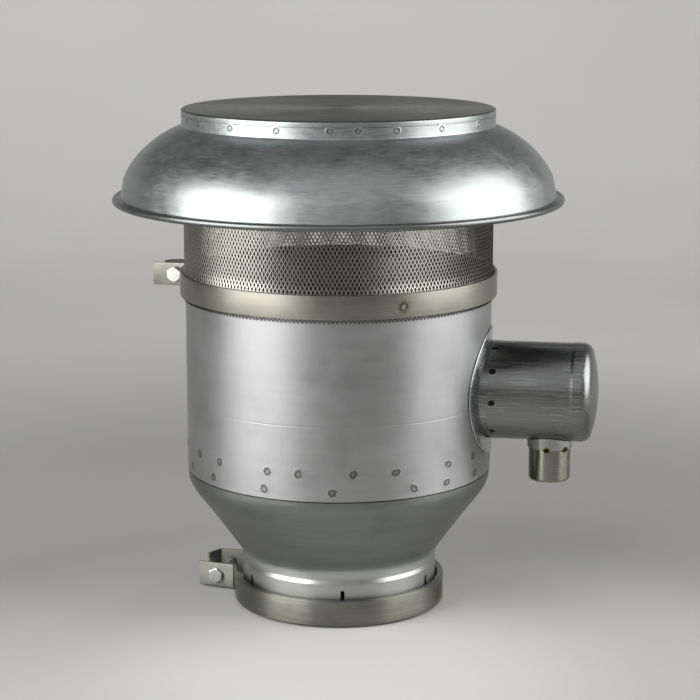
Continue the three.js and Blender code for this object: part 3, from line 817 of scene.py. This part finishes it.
def make_lower_band(line):
    """The lower band: a channel round the collar, with ears bent out of its web."""
    r = LOWER_BAND_R
    ear = rounded([
        polar(150, 166.9),
        (*polar(146.2, 159.2), 3.6),
        (*polar(r, 151.2), 3.2),
        polar(r, 147),
    ], steps=6)
    tail = rounded([
        polar(r, -165),
        (*polar(r + 3.3, -177.9), 3.2),
        polar(147.6, -181.6),
    ], steps=6)
    path = ear[:-1] + ring_arc(r, 147, -165) + tail[1:]
    section = band_section(2.6, 0, LOWER_BAND_Z1, 0.8)
    web = sweep_plan("lower_band_web", path, section, clamp_steel)
    drill_ears(web, *line)
    inner = 100.5
    parts = [web]
    for low in (0.2, LOWER_BAND_Z1 - 2.1):
        high = low + 1.9
        corners = [(-2, low), (-2, high), (inner - r, high, 0.6), (inner - r, low, 0.6)]
        flat = rounded(corners, steps=3, closed=True)
        parts.append(sweep_plan("flange", ring_arc(r, 149, -166), flat, clamp_steel))
    band = join("lower_band_skin", parts)
    return finish_piece(band, "base", "band_steel", "lower_clamp_band")


def hexagon(name, flats, height, material, bore=0.0):
    """A hexagon head or nut about Z from 0 up, with its corners turned away at the top."""
    sides = 72
    angles = np.arange(sides) / sides * TAU
    half = flats / 2
    edge = half / np.cos((angles + math.pi / 6) % (math.pi / 3) - math.pi / 6)
    land = half * 0.98
    fall = (edge - land) * math.tan(math.radians(28))
    rings = [(bore, 0), (edge * 0.985, 0), (edge, 0.25)]
    rings += [(edge, height - fall), (land, height), (bore, height)]
    flat = np.ones(sides)
    verts = []
    for radii, heights in rings:
        verts.extend(zip(radii * np.cos(angles), radii * np.sin(angles), heights * flat))
    pairs = [(k, k + 1) for k in range(len(rings) - 1)]
    if bore > 0:
        pairs.append((len(rings) - 1, 0))
    piece = new_mesh(name, verts, ring_faces(pairs, sides), material, sharp=20)
    if bore == 0:
        mesh = bmesh.new()
        mesh.from_mesh(piece.data)
        bmesh.ops.remove_doubles(mesh, verts=mesh.verts, dist=1e-7)
        mesh.to_mesh(piece.data)
        mesh.free()
    return piece


def threaded_rod(name, radius, length, pitch, material):
    """A thread drawn as close ridges, from 0 up, with a chamfered end."""
    outline = [(0, 0), (radius, 0)]
    root = radius - 0.55
    first = 0.4
    turns = int((length - 1.5) / pitch)
    for k in range(turns):
        z = first + k * pitch
        outline += [(radius, z), (radius, z + pitch * 0.15)]
        outline += [(root, z + pitch * 0.5), (root, z + pitch * 0.62)]
    outline += [(radius, first + turns * pitch), (radius, length - 1), (radius - 1, length), (0, length)]
    return lathe(name, outline, material, sides=32, sharp=50)


def make_fastener(prefix, body, bolt_body, line):
    """An M8 bolt through both ears, with its lock washer and nut behind the rear one."""
    start, direction, span = line
    clear = 0.3
    washer_at = span + 1.2
    nut_at = washer_at + 2.3
    head = hexagon("head", 13.6, 5.3, zinc)
    head.data.transform(Matrix.Rotation(math.pi, 4, "X"))
    disc = lathe("disc", [(0, -0.3), (6.5, -0.3), (6.5, 0.0), (0, 0.0)], zinc, sides=48)
    rod = threaded_rod("rod", 4, nut_at + 9.5, 1.25, zinc)
    for piece in (head, disc):
        piece.data.transform(Matrix.Translation((0, 0, -clear * MM)))
    bolt = join(f"{prefix}_bolt_skin", [place(piece, start, direction) for piece in (head, disc, rod)])
    finish_piece(bolt, bolt_body, "zinc", f"{prefix}_clamp_bolt")
    ring = rounded([(4.4, 0.1, 0.2), (7, 0.1, 0.3), (7, 1.9, 0.3), (4.4, 1.9, 0.2)], steps=2, closed=True)
    washer = lathe(f"{prefix}_lock_washer_skin", ring, zinc, sides=48)
    place(washer, start + direction * washer_at, direction)
    finish_piece(washer, body, "zinc", f"{prefix}_clamp_lock_washer")
    nut = hexagon(f"{prefix}_nut_skin", 13, 6.5, zinc, bore=4.25)
    place(nut, start + direction * nut_at, direction)
    finish_piece(nut, body, "zinc", f"{prefix}_clamp_nut")


# ------------------------------------------------------------------ side housing
def make_pod():
    """The drawn can: a tube with a slight step near its closed end, and a domed end."""
    cap_x = POD_X1 - 24
    can = rounded([
        (POD_R - 0.4, POD_START),
        (POD_R - 0.4, cap_x - 1.5, 5),
        (POD_R, cap_x + 1.5, 5),
        (POD_R, POD_X1 - 7, 11),
        (0, POD_X1 + 1.5),
    ], steps=14)[:-1]
    edge_r, edge_x = can[-1]
    dome_rings = 8
    for k in range(1, dome_rings + 1):
        r = edge_r * (1 - k / dome_rings)
        can.append((r, edge_x + (POD_X1 - edge_x) * (1 - (r / edge_r) ** 2)))
    inside = [(max(r, 0), x) for r, x in offset_line(can, 1.0)][::-1]
    inside[0] = (0, POD_X1 - 1)
    piece = lathe("side_housing_skin", subdivided(can, 8) + inside, pod_steel, sides=192, axis=X,
                  centre=(0, 0, POD_Z), ripple=sheet_ripple(0.12, 8))
    cut(piece, cylinder(17, 150, POD_Z, pod_steel, centre=(STUB_X, 0, 0)))
    return finish_piece(piece, "base", "pod_steel", "side_housing")


def make_neck():
    """The side neck: a short tube with a raised bead, cut to the body's round."""
    outline = [(NECK_TUBE_R, 140), (NECK_TUBE_R, 157)]
    outline += rounded([(NECK_TUBE_R, 158), (NECK_TUBE_R + 0.9, 160, 1), (NECK_TUBE_R, 162)], steps=4)
    outline += [(NECK_TUBE_R, 184)]
    piece = lathe("side_neck_skin", sheet_section(outline, 1.2), pod_steel, sides=192, axis=X,
                  centre=(0, 0, POD_Z))
    well_above = 450
    cut(piece, cylinder(BODY_R + 0.3, 0, well_above, pod_steel, sides=256))
    return finish_piece(piece, "base", "pod_steel", "side_neck")


def make_saddle():
    """A ring cut from sheet and wrapped on the body."""
    turns = 160
    hole_r = NECK_TUBE_R + 0.3
    reach = BODY_R + 0.3
    section = rounded([(hole_r, 0.0), (hole_r, 1.4, 0.4), (SADDLE_R, 1.4, 0.7), (SADDLE_R, 0.0)], steps=4)
    radial = []
    for (r0, h0), (r1, h1) in zip(section, section[1:]):
        count = 4 if abs(r1 - r0) > 5 else 1
        radial += [(r0 + (r1 - r0) * k / count, h0 + (h1 - h0) * k / count) for k in range(count)]
    radial.append(section[-1])
    verts = []
    for i in range(turns):
        around = TAU * i / turns
        for r, h in radial:
            y = r * math.cos(around)
            z = POD_Z + r * math.sin(around)
            turn = math.asin(y / reach)
            verts.append(((reach + h) * math.cos(turn), (reach + h) * math.sin(turn), z))
    faces = ring_faces([(i, (i + 1) % turns) for i in range(turns)], len(radial))
    piece = new_mesh("saddle_skin", verts, faces, saddle_steel)
    return finish_piece(piece, "base", "pod_steel", "saddle_flange")


def make_conduit():
    """The conduit stub with its rolled end, and the collar round its top, both cut to the side housing."""
    outline = rounded([
        (STUB_R - 3.2, STUB_Z0 + 1.6, 0.4),
        (STUB_R - 2.2, STUB_Z0, 1.4),
        (STUB_R, STUB_Z0, 2.6),
        (STUB_R, 175),
        (STUB_R - 1.4, 175),
        (STUB_R - 1.4, STUB_Z0 + 2.4, 1.0),
    ], steps=6, closed=True)
    stub = lathe("conduit_stub_skin", outline, polished, sides=96, centre=(STUB_X, 0, 0))
    inner, outer, low = STUB_R + 0.3, STUB_R + 1.6, STUB_COLLAR_Z
    ring = rounded([(inner, low), (outer, low, 0.6), (outer, 180), (inner, 180)], steps=4, closed=True)
    collar = lathe("conduit_collar_skin", ring, galvanised, sides=96, centre=(STUB_X, 0, 0))
    for piece, node in ((stub, "conduit_stub"), (collar, "conduit_collar")):
        cut(piece, cylinder(POD_R + 0.2, 150, 300, galvanised, sides=192, axis=X, centre=(0, 0, POD_Z)))
        finish_piece(piece, "base", "galvanised", node)


# ------------------------------------------------------------------ spot welds
def weld_patches(name, spots, radius, surface, material, dish):
    """Round spot welds pressed into a surface: surface(u, v, height) gives a point near a spot (u, v)."""
    rings = 8
    sides = 28
    verts = []
    faces = []
    reach = []
    rng = np.random.default_rng(len(spots))
    for u, v in spots:
        first = len(verts)
        stretch, phase = rng.uniform(0, 0.8), rng.uniform(0, TAU)
        verts.append(surface(u, v, 0.05))
        reach.append(0.0)
        for ring in range(1, rings + 1):
            t = ring / rings
            height = 0.04 + dish * math.exp(-((t - 0.5) / 0.16) ** 2) if ring < rings else 0.02
            for k in range(sides):
                a = TAU * k / sides
                r = radius * t * (1 + stretch * t * (1 - t) * math.sin(2 * a + phase))
                verts.append(surface(u + r * math.cos(a), v + r * math.sin(a), height))
                reach.append(t)
        for k in range(sides):
            n = (k + 1) % sides
            faces.append((first, first + 1 + k, first + 1 + n))
            for ring in range(rings - 1):
                a = first + 1 + ring * sides
                faces.append((a + k, a + sides + k, a + sides + n, a + n))
    piece = new_mesh(name, verts, faces, material, sharp=80)
    layer = piece.data.attributes.new("weld", "FLOAT", "POINT")
    layer.data.foreach_set("value", reach)
    return piece


def on_drum(radius):
    """Surface of a drum about Z: u is the length round from the front, and v the height."""
    def surface(u, v, height):
        angle = math.radians(FRONT) + u / radius
        return ((radius + height) * math.cos(angle), (radius + height) * math.sin(angle), v)
    return surface


def on_pod(radius):
    """Surface of the side housing: u is the length along it, and v the length round from the front."""
    def surface(u, v, height):
        angle = v / radius
        return (u, -(radius + height) * math.cos(angle), POD_Z + (radius + height) * math.sin(angle))
    return surface


def on_stub(edge):
    """Surface of the conduit stub with its collar above the edge: u is the length round, and v the height."""
    def surface(u, v, height):
        angle = math.radians(FRONT) + u / STUB_R
        radius = STUB_R + 0.1 + 1.6 * min(1, max(0, (v - edge + 1.9) / 2.2)) + height
        return (STUB_X + radius * math.cos(angle), radius * math.sin(angle), v)
    return surface


def on_band(middle, squash):
    """Surface of the lower band, where a round mark is squashed in height about the middle."""
    drum = on_drum(LOWER_BAND_R + 0.12)

    def surface(u, v, height):
        return drum(u, middle + (v - middle) * squash, height)
    return surface


def round_spots(radius, height, degrees):
    """Places (length round, height) on a drum, from angles round it."""
    return [(math.radians(d) * radius, height) for d in degrees]


def saddle_spots(drum_r):
    """Places round the saddle flange, near its edge, from the front and up."""
    middle = SADDLE_R - 3
    spots = []
    for degrees in [65, 34, 1, -23, -36, -66, -95, -130, -160, 168, 135, 100]:
        y = -middle * math.cos(math.radians(degrees))
        z = POD_Z + middle * math.sin(math.radians(degrees))
        spots.append(((math.asin(y / drum_r) - math.radians(FRONT)) * drum_r, z))
    return spots


def make_welds():
    """Every weld that shows, each group a piece. Angles are degrees round from the front, to the right."""
    neck = [-69.9, -59.2, -40.4, -21.9, -3.2, 6.6, 20.4, 38.4, 58.9, 73.1]
    neck += [92, 111, 131, 150, 170, 189, 209, 229, 250, 270]
    upper = [-63.1, -48.9, -26.5, -14.7, 5.2, 20.9, 43.7, 59.1, 80]
    upper += [99, 118, 136, 160, 177, 198, 216, 238, 255, 279]
    lower = [-71.7, -52.8, -27.8, -2.4, 28.1, 42.8, 60.4, 84, 105, 131, 150, 172, 196, 213, 236, 262]
    around_pod = [67.5, 32, -4.5, -45, -80, -116, -152, 172, 137, 102]
    body = round_spots(BODY_R, 165.3, upper) + round_spots(BODY_R, 147.8, lower)
    pod = [(POD_START + 4, math.radians(degrees) * POD_R) for degrees in around_pod]
    flange_r = BODY_R + 1.7
    tacks = round_spots(STUB_R, STUB_COLLAR_Z + 0.4, [-14, 39, 150])
    middle = LOWER_BAND_Z1 / 2
    tint = round_spots(LOWER_BAND_R, middle, [72])
    band = round_spots(UPPER_BAND_R, 325.1, [22.9])
    groups = (
        ("hood_spot_welds", "hood", "hood_steel", round_spots(NECK_R, 488.6, neck), 4.8, on_drum(NECK_R),
         hood_weld_steel, 0.3),
        ("body_spot_welds", "base", "body_steel", body, 6.0, on_drum(BODY_R + 0.12), body_weld_steel, 0.2),
        ("pod_spot_welds", "base", "pod_steel", pod, 5.0, on_pod(POD_R - 0.3), pod_weld_steel, 0.15),
        ("saddle_spot_welds", "base", "pod_steel", saddle_spots(flange_r), 2.4, on_drum(flange_r),
         saddle_weld_steel, 0.15),
        ("conduit_tack_welds", "base", "galvanised", tacks, 3.2, on_stub(STUB_COLLAR_Z), tack_steel, 0.8),
        ("lower_band_tint", "base", "band_steel", tint, 17, on_band(middle, 0.68), tinted_clamp_steel, 0.05),
        ("band_spot_weld", "hood", "band_steel", band, 7.2, on_drum(UPPER_BAND_R), band_weld_steel, 0.25),
    )
    for name, rides, slot, spots, radius, surface, material, dish in groups:
        finish_piece(weld_patches(name, spots, radius, surface, material, dish), rides, slot)


# ------------------------------------------------------------------ fan and motor
def make_shroud():
    """The ring that the blades turn in, with a lead-in at its lower edge."""
    inside = rounded([(145.2, 159.0), (145.4, 162), (149.2, 165, 5), (149.2, 197)], steps=6)
    piece = lathe("fan_shroud_skin", sheet_section(inside, -1.2), galvanised, sides=192)
    finish_piece(piece, "base", "galvanised", "fan_shroud")


BLADES = 6
BLADE_Z = 180
BLADE_TIP = 146.5


def blade_point(root, outward, across, side, turn):
    """A point on a blade: outward from 0 to 1, across from -0.5 to 0.5, and side 1 or -1 of the sheet."""
    radius = root + (BLADE_TIP - root) * outward
    chord = 46 + 38 * outward
    pitch = math.radians(38 - 16 * outward)
    camber = 0.08 * chord * (1 - 4 * across * across)
    thickness = min(1.0, 8 * (0.5 - abs(across)) + 0.25)
    height = across * chord * math.sin(pitch) + camber + side * thickness
    sweep = across * chord * math.cos(pitch) / radius + turn
    return (radius * math.cos(sweep), radius * math.sin(sweep), BLADE_Z + height)


def make_blade(name, root, turn):
    """One cambered, twisted blade from its root out to its tip."""
    across_count, out_count = 18, 26
    verts = []
    for side in (1, -1):
        for i in range(out_count + 1):
            for j in range(across_count + 1):
                verts.append(blade_point(root, i / out_count, j / across_count - 0.5, side, turn))
    row = across_count + 1
    layer = row * (out_count + 1)
    faces = []
    for i in range(out_count):
        for j in range(across_count):
            a = i * row + j
            faces.append((a, a + row, a + row + 1, a + 1))
            faces.append((layer + a, layer + a + 1, layer + a + row + 1, layer + a + row))
    edge = list(range(row)) + [i * row + row - 1 for i in range(1, out_count + 1)]
    edge += [out_count * row + j for j in range(row - 2, -1, -1)]
    edge += [i * row for i in range(out_count - 1, 0, -1)]
    for a, b in zip(edge, edge[1:] + edge[:1]):
        faces.append((a, b, layer + b, layer + a))
    return new_mesh(name, verts, faces, blade_metal, sharp=40)


def make_impeller():
    """The hub, its blades and the nut that holds it on the shaft."""
    hub_r = extent("impeller_hub", 1, X)
    outline = rounded([
        (6.5, 162, 0.4),
        (12, 162, 0.8),
        (12, 187, 3),
        (hub_r - 2, 187, 3),
        (hub_r - 2, 158, 0.4),
        (hub_r, 158, 0.4),
        (hub_r, 193, 5),
        (6.5, 193, 0.4),
    ], steps=5, closed=True)
    hub = lathe("impeller_hub_skin", outline, blade_metal, sides=128)
    finish_piece(hub, "impeller", "impeller_metal", "impeller_hub")
    for index in range(BLADES):
        blade = make_blade(f"impeller_blade_skin_{index + 1}", hub_r + 0.3, TAU * index / BLADES)
        finish_piece(blade, "impeller", "impeller_metal", f"impeller_blade_{index + 1}")
    nut = hexagon("impeller_nut_skin", 17, 7.6, zinc, bore=6.4)
    nut.data.transform(Matrix.Translation((0, 0, 161.7 * MM)) @ Matrix.Rotation(math.pi, 4, "X"))
    finish_piece(nut, "impeller", "zinc", "impeller_nut")


def make_drum():
    """The motor's drum, with a hole for the wireway, and its lid."""
    r = extent("motor_drum", 1, X)
    z0 = extent("motor_drum", 0, Z)
    z1 = extent("motor_drum", 1, Z)
    outline = rounded([
        (9, z0, 0.4),
        (r, z0, 4),
        (r, z1),
        (r - 1.2, z1),
        (r - 1.2, z0 + 1.6, 3),
        (9, z0 + 1.6, 0.4),
    ], steps=6, closed=True)
    drum = lathe("motor_drum_skin", outline, galvanised, sides=160)
    cut(drum, cylinder(17.6, 40, 80, galvanised, axis=X, centre=(0, 0, POD_Z)))
    finish_piece(drum, "base", "galvanised", "motor_drum")
    lid_r = extent("motor_drum_lid", 1, X)
    lid_z0 = extent("motor_drum_lid", 0, Z)
    lid_z1 = extent("motor_drum_lid", 1, Z)
    corners = [(lid_r, lid_z0), (lid_r, lid_z1 - 2.5, 2.5), (30, lid_z1 - 0.6, 40), (0, lid_z1)]
    shell = rounded(corners, steps=8)
    inside = offset_line(shell, 1.2)[::-1]
    inside[0] = (0, lid_z1 - 1.2)
    lid = lathe("motor_drum_lid_skin", shell + inside, galvanised, sides=160)
    finish_piece(lid, "base", "galvanised", "motor_drum_lid")


CAD_FINISHES = (
    (heat_tint, "lower_band_weld"),
    (black_rubber, "conduit_bushing", "wireway_grommet", "motor_lead"),
    (galvanised, "wireway_tube", "terminal_bracket", "screen_top_ring"),
    (galvanised, "motor_strut_1", "motor_strut_2", "motor_strut_3", "motor_strut_4"),
    (dark_plastic, "terminal_block"),
    (motor_paint, "lower_end_plate", "upper_end_plate"),
    (laminated, "stator_core", "rotor_core"),
    (copper, "lower_winding", "upper_winding"),
    (machined, "lower_bearing", "upper_bearing", "motor_shaft"),
)


def dress_cad_nodes():
    """CAD nodes that keep their own shape get a material and smooth round faces."""
    for material, *names in CAD_FINISHES:
        for name in names:
            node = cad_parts[name]
            for slot in node.material_slots:
                slot.material = material
            smooth(node.data, 35)


# ------------------------------------------------------------------ assemble
make_body()
make_cone()
make_collar()
make_lid()
make_bell()
make_screen()
upper_line = bolt_line((170.1, 177.3), (171.8, 169.2), (UPPER_BAND_Z0 + UPPER_BAND_Z1) / 2)
lower_line = bolt_line((128.9, 179.45), (133.2, 157.2), LOWER_BAND_Z1 / 2)
make_upper_band(upper_line)
make_lower_band(lower_line)
make_fastener("upper", "hood", "upper_bolt", upper_line)
make_fastener("lower", "base", "lower_bolt", lower_line)
make_pod()
make_neck()
make_saddle()
make_conduit()
make_welds()
make_shroud()
make_impeller()
make_drum()
dress_cad_nodes()


# ------------------------------------------------------------------ stage, light and camera
def make_stage():
    """A floor that curves up to a wall all round, with painted shade a little way out from the object."""
    sides = 128
    profile = rounded([(0, 0), (3400, 0, 1500), (3500, 1050)], steps=24)[1:]
    points = [(0, 0, -FLOOR_GAP)]
    for r, z in profile:
        points += [(r * math.cos(a), r * math.sin(a), z - FLOOR_GAP) for a in np.arange(sides) / sides * TAU]
    faces = [(0, 1 + k, 1 + (k + 1) % sides) for k in range(sides)]
    for ring in range(len(profile) - 1):
        a = 1 + ring * sides
        b = a + sides
        faces += [(a + k, b + k, b + (k + 1) % sides, a + (k + 1) % sides) for k in range(sides)]
    m = Nodes("backdrop_paper")
    cloudy = m.ramp(m.noise(m.coords, 1.3, 3, 0.5), (0.3, 0.96), (0.7, 1.03))
    shade = m.times((0.585, 0.582, 0.568, 1), cloudy)
    # Painted shade: the paper is painted darker with distance from a point just in front of the object,
    # darkest from 0.5 to 0.8 m and back to full at 1.7 m.
    away = m.add("ShaderNodeVectorMath", operation="DISTANCE")
    m.wire(m.coords, away.inputs[0])
    away.inputs[1].default_value = (0.05, -0.22, 0)
    half_metres = m.math("MULTIPLY", away.outputs["Value"], 0.5)
    tone = m.ramp(half_metres, (0.04, 0.98), (0.16, 0.74), (0.25, 0.58), (0.40, 0.56), (0.85, 1.0))
    tone.node.color_ramp.interpolation = "EASE"
    shade = m.times(shade, tone)
    m.wire(shade, m.shader.inputs["Base Color"])
    m.shader.inputs["Roughness"].default_value = 0.75
    m.shader.inputs["Specular IOR Level"].default_value = 0.2
    new_mesh("backdrop", points, faces, m.material, sharp=180)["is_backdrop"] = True


def area_light(name, location, target, size, power, colour=(1, 1, 1)):
    """A rectangle of light at a place, turned to look at a target, that the camera doesn't see."""
    data = bpy.data.lights.new(name, "AREA")
    data.shape = "RECTANGLE"
    data.size, data.size_y = size
    data.energy = power
    data.color = colour
    lamp = bpy.data.objects.new(name, data)
    lamp.location = location
    lamp.rotation_euler = (Vector(target) - lamp.location).to_track_quat("-Z", "Y").to_euler()
    lamp.visible_camera = False
    bpy.context.scene.collection.objects.link(lamp)


def soft_box(name, azimuth, elevation, distance, size, power):
    """A light that looks at the object's middle. Its azimuth is from the camera's side, right positive."""
    middle = Vector((0, 0, 0.25))
    a = math.radians(FRONT + azimuth)
    e = math.radians(elevation)
    towards = Vector((math.cos(a) * math.cos(e), math.sin(a) * math.cos(e), math.sin(e)))
    area_light(name, middle + towards * distance, middle, size, power, (1, 0.99, 0.965))


def make_light():
    """Two large boxes at the sides, two weak fills, a light on the wall behind and a dim, even sky."""
    soft_box("left_box", -58, 19, 1.75, (1.6, 1.5), 43)
    soft_box("right_box", 80, 22, 1.75, (1.7, 1.6), 36)
    soft_box("front_fill", 0, 34, 2.6, (2.0, 1.9), 6.5)
    soft_box("top_fill", 0, 68, 2.2, (1.8, 1.2), 3.5)
    area_light("wall_light", (-0.4, 2.0, 2.1), (-0.5, 3.3, 0.4), (3.2, 0.8), 24)
    world = bpy.data.worlds.new("studio")
    world.use_nodes = True
    background = world.node_tree.nodes["Background"]
    background.inputs["Color"].default_value = (0.80, 0.80, 0.79, 1)
    background.inputs["Strength"].default_value = 0.19
    bpy.context.scene.world = world


def make_camera():
    """The camera, 2.07 m out from the duct's axis and 0.68 m up, looks slightly down."""
    distance, height = 2.067, 0.6755
    pitch, turn = 11.51, 10.0
    pan = 0.314
    data = bpy.data.cameras.new("camera")
    data.lens = 108.1
    data.sensor_width = 36
    camera = bpy.data.objects.new("camera", data)
    a = math.radians(turn)
    camera.location = (distance * math.sin(a), -distance * math.cos(a), height)
    camera.rotation_euler = (math.radians(90 - pitch), 0, math.radians(turn - pan))
    bpy.context.scene.collection.objects.link(camera)
    bpy.context.scene.camera = camera


make_stage()
make_light()
make_camera()
bpy.context.scene.view_settings.view_transform = "Standard"

plain = [[[float(c) for c in corner] for corner in box] for box in (cad_box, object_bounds())]
